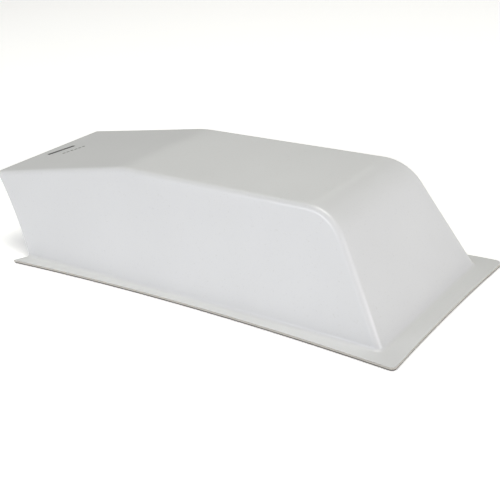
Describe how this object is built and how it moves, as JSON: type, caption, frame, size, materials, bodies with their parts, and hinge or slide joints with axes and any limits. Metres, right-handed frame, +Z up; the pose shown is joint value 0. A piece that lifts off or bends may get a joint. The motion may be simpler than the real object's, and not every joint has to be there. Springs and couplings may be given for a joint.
{
  "type": "roof vent cover",
  "caption": "Long moulded roof vent cover with an open mouth, bird screen, raked closed end, sloping ramp and sealed fixing flange.",
  "frame": {"origin": "under the middle of the whole cover, level with the underside of the seal strips", "axes": "+X along the cover from the open mouth to the raked closed end, +Y across it to the left side as seen from the mouth, +Z up"},
  "size_m": [0.6807, 0.3232, 0.1486],
  "materials": {
    "hood_plastic": "white thermoformed ABS sheet, satin gloss",
    "frame_plastic": "white ABS strip, matt",
    "mesh_wire": "galvanised wire",
    "fixing_steel": "stainless steel",
    "seal_strip": "closed-cell foam, matt",
    "mark_dark": "printed ink",
    "mark_pale": "printed ink"
  },
  "bodies": {
    "root": {"cover_shell": "hood_plastic", "screen_frame_top": "frame_plastic", "screen_frame_right": "frame_plastic", "screen_frame_left": "frame_plastic", "screen_sill": "frame_plastic", "screen_mesh": "mesh_wire", "screen_washers": "fixing_steel", "screen_screws": "fixing_steel", "seal_strip_right": "seal_strip", "seal_strip_left": "seal_strip", "seal_strip_end": "seal_strip", "seal_strip_sill": "seal_strip", "mark_bar": "mark_dark", "mark_dashes": "mark_pale"}
  },
  "joints": []
}
